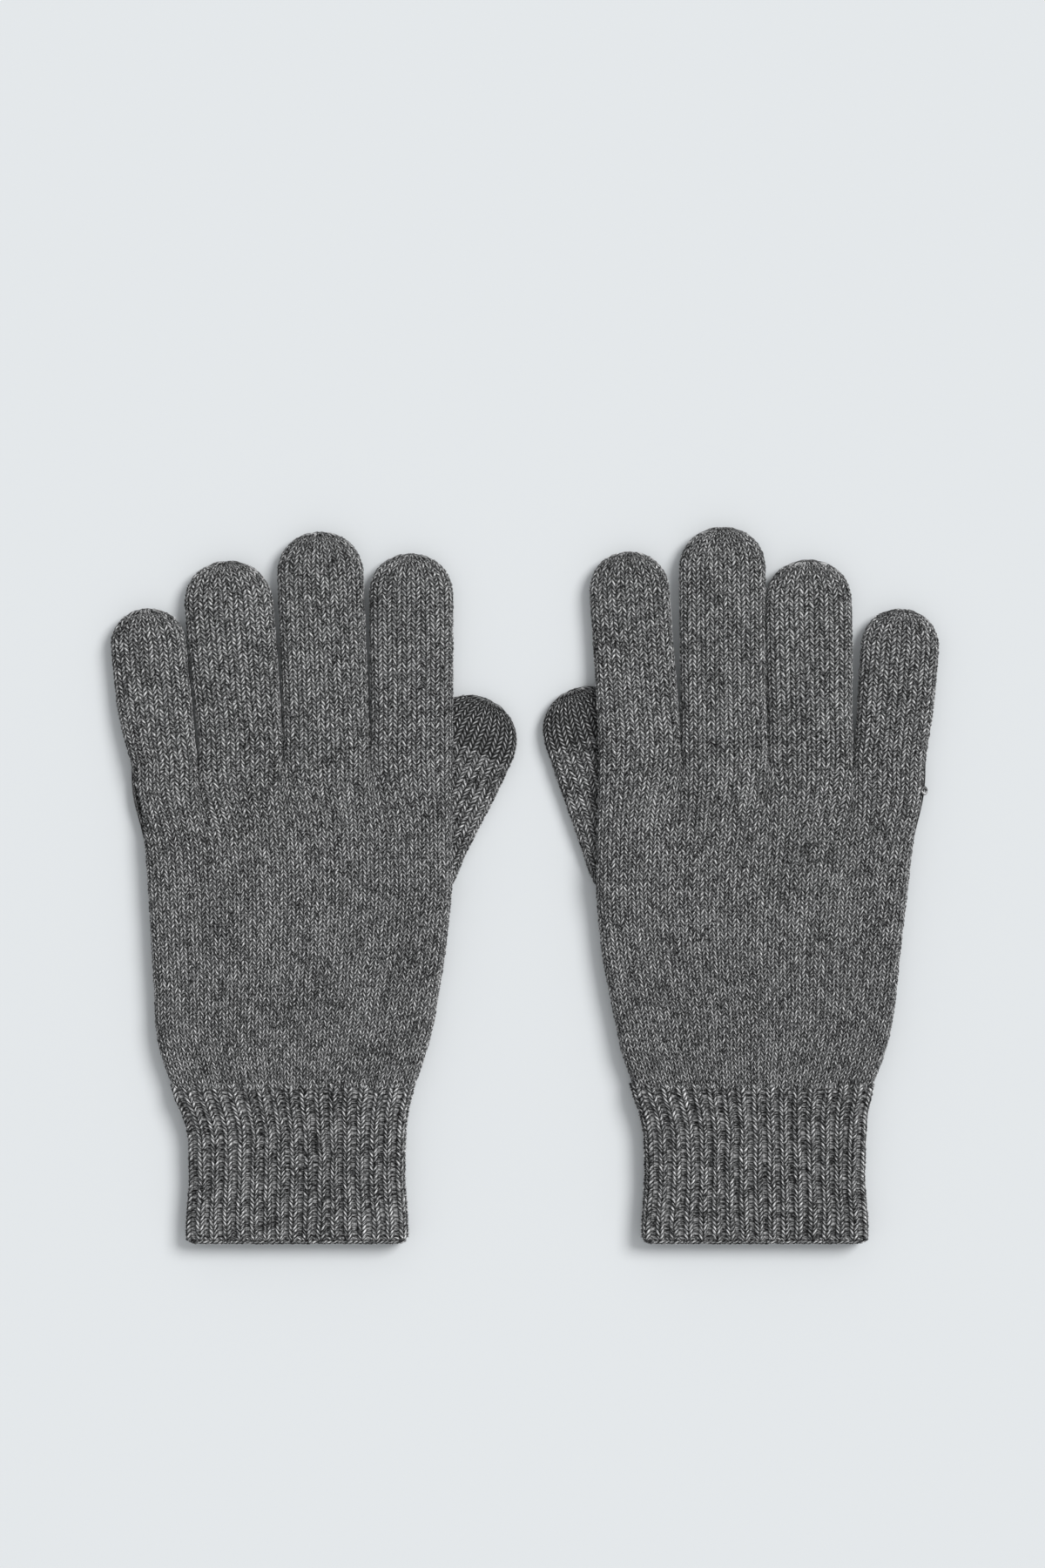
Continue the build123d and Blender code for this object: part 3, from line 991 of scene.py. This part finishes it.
def lay_elastic(glove):
    """Rings of covered elastic, laid between the rib and its lining."""
    low, high = glove.box("cuff_elastic")
    inset = bpy.context.scene.glove_knit.rib_height + 0.65 * MM
    rings, thick = 6, 0.7 * MM
    strands = []
    for y in np.linspace(low.y + thick / 2, high.y - thick / 2, rings):
        centre, half = cuff_line(glove, y)
        top, bottom = cuff_levels(glove, centre, y, inset)
        radius = (top - bottom) / 2
        straight = half - inset - radius
        ring_points = []
        for way in (1, -1):
            for turn in np.linspace(-pi / 2, pi / 2, 9):
                x = centre + way * (straight + radius * np.cos(turn))
                ring_points.append((x, y, (top + bottom) / 2 + way * radius * np.sin(turn)))
        strands.append(ring_points)
    name = f"{glove.side}_elastic_yarn"
    piece = yarn_strand(name, strands, thick, elastic_material(), cyclic=True)
    attach(piece, f"{glove.side}_hand", "elastic_yarn", f"{glove.side}_cuff_elastic")


def knit_edge(glove):
    """The bound-off edge: a chain of stitches that runs round the mouth of the cuff."""
    sizes = bpy.context.scene.glove_knit
    stitches, round_wales = 5 * CUFF_RIBS, 3
    rows = stitches * COURSE_ROWS
    thick = 1.15 * MM
    centre, half_x = cuff_line(glove, glove.mouth)
    half_x = half_x - thick - 0.2 * MM
    half_z = (glove.top(glove.middle, glove.mouth) - FLOOR_GAP) / 2 - thick * 0.95
    straight = 2 * (half_x - half_z)
    length = 2 * straight + 2 * pi * half_z
    columns = round_wales * WALE_COLUMNS
    side = leg_side(columns)[:-1]
    at = ((np.arange(rows)[:, None] / COURSE_ROWS + sizes.slant * side[None, :]) / stitches * length) % length
    arc = pi * half_z
    turn = np.clip((at - straight) / half_z, 0.0, pi) + np.clip((at - 2 * straight - arc) / half_z, 0.0, pi)
    flat = np.clip(at, 0.0, straight) - np.clip(at - straight - arc, 0.0, straight)
    centre_x = -straight / 2 + flat + half_z * np.sin(turn)
    centre_z = half_z * np.cos(turn)
    out_x, out_z = np.sin(turn), np.cos(turn)
    spin = np.arange(columns)[None, :] / columns * 2 * pi
    reach = thick * np.cos(spin)
    x = centre + centre_x + out_x * reach
    y = np.broadcast_to(glove.mouth + thick + thick * 1.1 * np.sin(spin), at.shape)
    z = FLOOR_GAP + half_z + thick + centre_z + out_z * reach
    rings = np.stack([x, y, z], axis=-1)
    wale = np.arange(columns + 1) / WALE_COLUMNS
    course = np.arange(rows + 1) / COURSE_ROWS
    fabric = Fabric(False)
    closed = np.concatenate([rings[-1:], rings, rings[:1]])
    outward = -normals(closed)[1:-1].reshape(-1, 3)
    wales, courses = np.tile(wale[:-1], rows), np.repeat(course[:-1], columns)
    fabric.add_points(rings.reshape(-1, 3), wales, courses, 1.0, outward)
    for row in range(rows):
        after = (row + 1) % rows
        for column in range(columns):
            beside = (column + 1) % columns
            low, high = row * columns, after * columns
            here, there, now, then = wale[column], wale[column + 1], course[row], course[row + 1]
            counts = ((here, now), (here, then), (there, then), (there, now))
            fabric.add_face((low + column, high + column, high + beside, low + beside), counts)
    name = f"{glove.side}_cuff_edge_knit"
    piece = knitted(name, fabric.mesh(name), yarn("plain yarn"))
    attach(piece, f"{glove.side}_hand", "rib_knit", f"{glove.side}_cuff_edge")


def yarn_strand(name, strands, thickness, material, cyclic=False):
    """Short strands of yarn through chosen points, as one closed mesh."""
    curve = bpy.data.curves.new(name, "CURVE")
    curve.dimensions = "3D"
    curve.bevel_depth = thickness / 2
    curve.bevel_resolution = 2
    curve.use_fill_caps = True
    for points in strands:
        spline = curve.splines.new("NURBS")
        spline.points.add(len(points) - 1)
        for point, place in zip(spline.points, points):
            point.co = (*place, 1.0)
        spline.order_u = 3
        spline.use_endpoint_u = not cyclic
        spline.use_cyclic_u = cyclic
        spline.resolution_u = 5
    strand = bpy.data.objects.new(name, curve)
    bpy.context.scene.collection.objects.link(strand)
    mesh = bpy.data.meshes.new_from_object(strand.evaluated_get(bpy.context.evaluated_depsgraph_get()))
    bpy.data.objects.remove(strand)
    piece = bpy.data.objects.new(name, mesh)
    bpy.context.scene.collection.objects.link(piece)
    mesh.materials.clear()
    mesh.materials.append(material)
    if not mesh.uv_layers:
        mesh.uv_layers.new(name="knit")
    mesh.uv_layers[0].name = "knit"
    return piece


def sew_crotches(glove):
    """The closing stitches between the fingers."""
    strands = []
    for name, beside, line in (
        ("middle", "index", glove.root_line),
        ("ring", "middle", glove.root_line),
        ("little", "ring", glove.little_line),
    ):
        finger, other = glove.fingers[name], glove.fingers[beside]
        edge = finger.root.x + glove.sign * (finger.width + FINGER_GAP) / 2
        other_edge = other.root.x - glove.sign * (other.width + FINGER_GAP) / 2
        x = (edge + other_edge) / 2
        for rise, wide in ((0.2, 1.1), (1.2, 0.9), (2.1, 0.7)):
            y, z = line + rise * MM, glove.top(x, line) / 2
            w = wide * MM
            over = [(x - w, y + 0.4 * MM, z + w), (x + w, y + 0.6 * MM, z + w * 1.1)]
            strands.append([(x - w, y, z - w), *over, (x + w, y, z - w)])
    name = f"{glove.side}_crotch_yarn"
    piece = yarn_strand(name, strands, 0.8 * MM, yarn("closing yarn"))
    attach(piece, f"{glove.side}_hand", "closing_yarn", f"{glove.side}_crotch_stitches")


def tie_knot(glove):
    """The darned yarn end, a small knot with a tail, on the little finger's side."""
    low, high = glove.box("yarn_knot")
    middle = (low + high) / 2
    middle.x = low.x - 0.8 * MM
    size = 1.3 * MM
    turns = [
        middle + Vector((np.cos(a) * size, np.sin(a * 1.5) * size, np.sin(a) * size * 0.8))
        for a in np.linspace(0.0, 3.2 * pi, 15)
    ]
    tail = [turns[-1] + Vector((0.6, 1.2, 0.2)) * MM, turns[-1] + Vector((0.8, 2.6, -0.4)) * MM]
    name = f"{glove.side}_knot_yarn"
    piece = yarn_strand(name, [turns + tail], 0.9 * MM, yarn("plain yarn"))
    attach(piece, f"{glove.side}_hand", "closing_yarn", f"{glove.side}_yarn_knot")


def elastic_material():
    """Covered elastic: pale yarn wound round a core."""
    made = bpy.data.materials.get("elastic yarn")
    if made:
        return made
    material, maker = empty_material("elastic yarn")
    where = maker.node("ShaderNodeTexCoord").outputs["Object"]
    turns = {"Vector": where, "Scale": 900.0, "Distortion": 1.0}
    winding = maker.node("ShaderNodeTexWave", {"bands_direction": "DIAGONAL"}, turns)
    wound = maker.number(winding.outputs["Fac"])
    ramp = maker.node("ShaderNodeValToRGB", None, {0: wound})
    ramp.color_ramp.elements[0].color = (0.10, 0.10, 0.10, 1.0)
    ramp.color_ramp.elements[1].color = (0.24, 0.24, 0.24, 1.0)
    bump = maker.node("ShaderNodeBump", None, {"Strength": 0.5, "Distance": 0.0002, "Height": wound})
    finish = {"Base Color": ramp.outputs[0], "Roughness": 0.85, "Normal": bump.outputs[0]}
    shader = maker.node("ShaderNodeBsdfPrincipled", None, finish)
    maker.node("ShaderNodeOutputMaterial", None, {0: shader.outputs[0]})
    return material


# Operators


class GLOVES_OT_hands(bpy.types.Operator):
    """Knit the hands"""

    bl_idname = "gloves.hands"
    bl_label = "Hands"

    def execute(self, context):
        for side in SIDES:
            knit_hand(Glove(side))
        return {"FINISHED"}


class GLOVES_OT_fingers(bpy.types.Operator):
    """Knit the fingers"""

    bl_idname = "gloves.fingers"
    bl_label = "Fingers"

    def execute(self, context):
        for side in SIDES:
            for digit in Glove(side).fingers.values():
                knit_finger(digit)
        return {"FINISHED"}


class GLOVES_OT_thumbs(bpy.types.Operator):
    """Knit the thumbs"""

    bl_idname = "gloves.thumbs"
    bl_label = "Thumbs"

    def execute(self, context):
        for side in SIDES:
            knit_thumb(Glove(side))
        return {"FINISHED"}


class GLOVES_OT_cuffs(bpy.types.Operator):
    """Knit the ribbed cuffs, with their bound-off edges and elastic"""

    bl_idname = "gloves.cuffs"
    bl_label = "Cuffs"

    def execute(self, context):
        for side in SIDES:
            glove = Glove(side)
            knit_cuff(glove)
            knit_edge(glove)
            lay_elastic(glove)
        return {"FINISHED"}


class GLOVES_OT_trim(bpy.types.Operator):
    """Sew the crotches of the fingers and tie the yarn end"""

    bl_idname = "gloves.trim"
    bl_label = "Closing stitches"

    def execute(self, context):
        for side in SIDES:
            sew_crotches(Glove(side))
        tie_knot(Glove("right"))
        return {"FINISHED"}


class GLOVES_OT_stage(bpy.types.Operator):
    """Add the floor, the light and the camera"""

    bl_idname = "gloves.stage"
    bl_label = "Stage"

    def execute(self, context):
        scene = context.scene
        look = scene.glove_stage
        bpy.ops.mesh.primitive_plane_add(size=6.0)
        floor = context.object
        floor.name = "floor"
        paper = bpy.data.materials.new("floor")
        paper.use_nodes = True
        shader = paper.node_tree.nodes["Principled BSDF"]
        shader.inputs["Base Color"].default_value = (*look.floor, 1.0)
        shader.inputs["Roughness"].default_value = 0.9
        shader.inputs["Specular IOR Level"].default_value = 0.1
        floor.data.materials.append(paper)
        world = bpy.data.worlds.new("studio")
        scene.world = world
        world.use_nodes = True
        sky = world.node_tree.nodes["Background"]
        sky.inputs["Color"].default_value = (0.97, 0.985, 1.0, 1.0)
        sky.inputs["Strength"].default_value = look.sky
        key = bpy.data.lights.new("key", "SUN")
        key.energy = look.key
        key.angle = radians(28.0)
        lamp = bpy.data.objects.new("key", key)
        lamp.rotation_euler = LIGHT_WAY.to_track_quat("-Z", "Y").to_euler()
        scene.collection.objects.link(lamp)
        lens = bpy.data.cameras.new("camera")
        lens.lens = 100.0
        lens.sensor_width = 36.0
        view = bpy.data.objects.new("camera", lens)
        view.location = (*VIEW_CENTRE, VIEW_HEIGHT / 2 / (lens.sensor_width / 2 / lens.lens))
        scene.collection.objects.link(view)
        scene.camera = view
        scene.view_settings.view_transform = "Standard"
        return {"FINISHED"}


class GLOVES_PT_panel(bpy.types.Panel):
    """Lists the sizes and the pieces"""

    bl_label = "Knitted Gloves"
    bl_idname = "GLOVES_PT_panel"
    bl_space_type = "VIEW_3D"
    bl_region_type = "UI"
    bl_category = "Gloves"

    def draw(self, context):
        scene = context.scene
        for group in (scene.glove_knit, scene.glove_yarn, scene.glove_stage):
            for name in group.__annotations__:
                self.layout.prop(group, name)
        for operator in OPERATORS:
            self.layout.operator(operator.bl_idname)


OPERATORS = (
    GLOVES_OT_stage,
    GLOVES_OT_cuffs,
    GLOVES_OT_hands,
    GLOVES_OT_fingers,
    GLOVES_OT_thumbs,
    GLOVES_OT_trim,
)
GROUPS = {"glove_knit": KnitSizes, "glove_yarn": YarnColours, "glove_stage": StageLook}


def register():
    for owner in (*GROUPS.values(), *OPERATORS, GLOVES_PT_panel):
        bpy.utils.register_class(owner)
    for name, group in GROUPS.items():
        setattr(bpy.types.Scene, name, PointerProperty(type=group))


def unregister():
    for name in GROUPS:
        delattr(bpy.types.Scene, name)
    for owner in (GLOVES_PT_panel, *reversed(OPERATORS), *GROUPS.values()):
        bpy.utils.unregister_class(owner)


def main():
    register()
    for operator in OPERATORS:
        group, name = operator.bl_idname.split(".")
        getattr(getattr(bpy.ops, group), name)()


if __name__ == "__main__":
    main()
